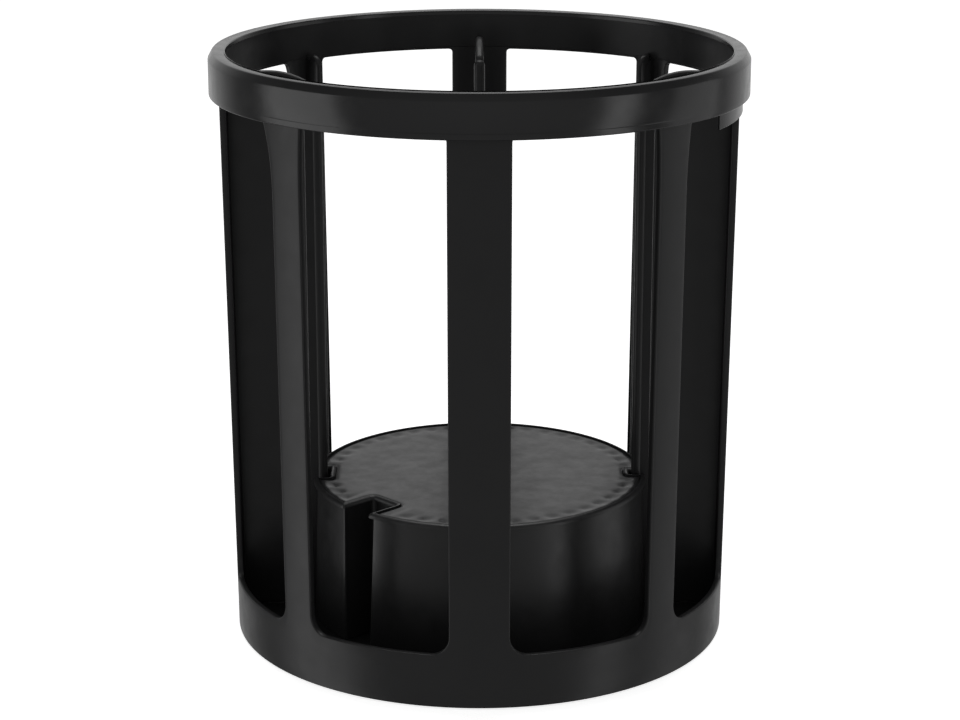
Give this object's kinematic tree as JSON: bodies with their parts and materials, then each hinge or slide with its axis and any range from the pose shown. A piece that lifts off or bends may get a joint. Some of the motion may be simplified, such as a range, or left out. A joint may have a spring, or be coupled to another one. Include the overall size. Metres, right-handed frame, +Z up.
{
  "type": "umbrella stand",
  "caption": "Round open-sided umbrella stand: slatted plastic cage with inner guide fins, a lift-off collar and a weighted centre drum that slides up and out.",
  "frame": {"origin": "centre of the foot plane, on the cage's axis", "axes": "+Z up along the cage's axis, -Y towards the front slat, +X to the right"},
  "size_m": [0.2432, 0.2432, 0.272],
  "materials": {
    "cage_plastic": "satin moulded black",
    "collar_plastic": "satin moulded black",
    "drum_plastic": "fine-grained moulded black",
    "ballast_iron": "as cast",
    "screw_steel": "zinc plated",
    "foot_rubber": "matt"
  },
  "bodies": {
    "cage": {"base_band": "cage_plastic", "base_floor": "cage_plastic", "slat_front": "cage_plastic", "slat_right": "cage_plastic", "slat_rear": "cage_plastic", "slat_left": "cage_plastic", "slat_front_right": "cage_plastic", "slat_rear_right": "cage_plastic", "slat_rear_left": "cage_plastic", "slat_front_left": "cage_plastic", "fin_front": "cage_plastic", "fin_right": "cage_plastic", "fin_rear": "cage_plastic", "fin_left": "cage_plastic", "upper_ring": "cage_plastic", "foot_1": "foot_rubber", "foot_2": "foot_rubber", "foot_3": "foot_rubber", "foot_4": "foot_rubber"},
    "collar": {"collar": "collar_plastic"},
    "drum": {"drum_shell": "drum_plastic", "drum_cap": "drum_plastic", "drum_base_plate": "drum_plastic", "drum_ballast": "ballast_iron", "screw_1": "screw_steel", "screw_2": "screw_steel", "screw_3": "screw_steel"}
  },
  "joints": [
    {"name": "drum_lift", "type": "slide", "parent": "cage", "child": "drum", "axis": [0, 0, 1], "range_m": [0, 0.27]},
    {"name": "collar_lift", "type": "slide", "parent": "cage", "child": "collar", "axis": [0, 0, 1], "range_m": [0, 0.03]}
  ]
}
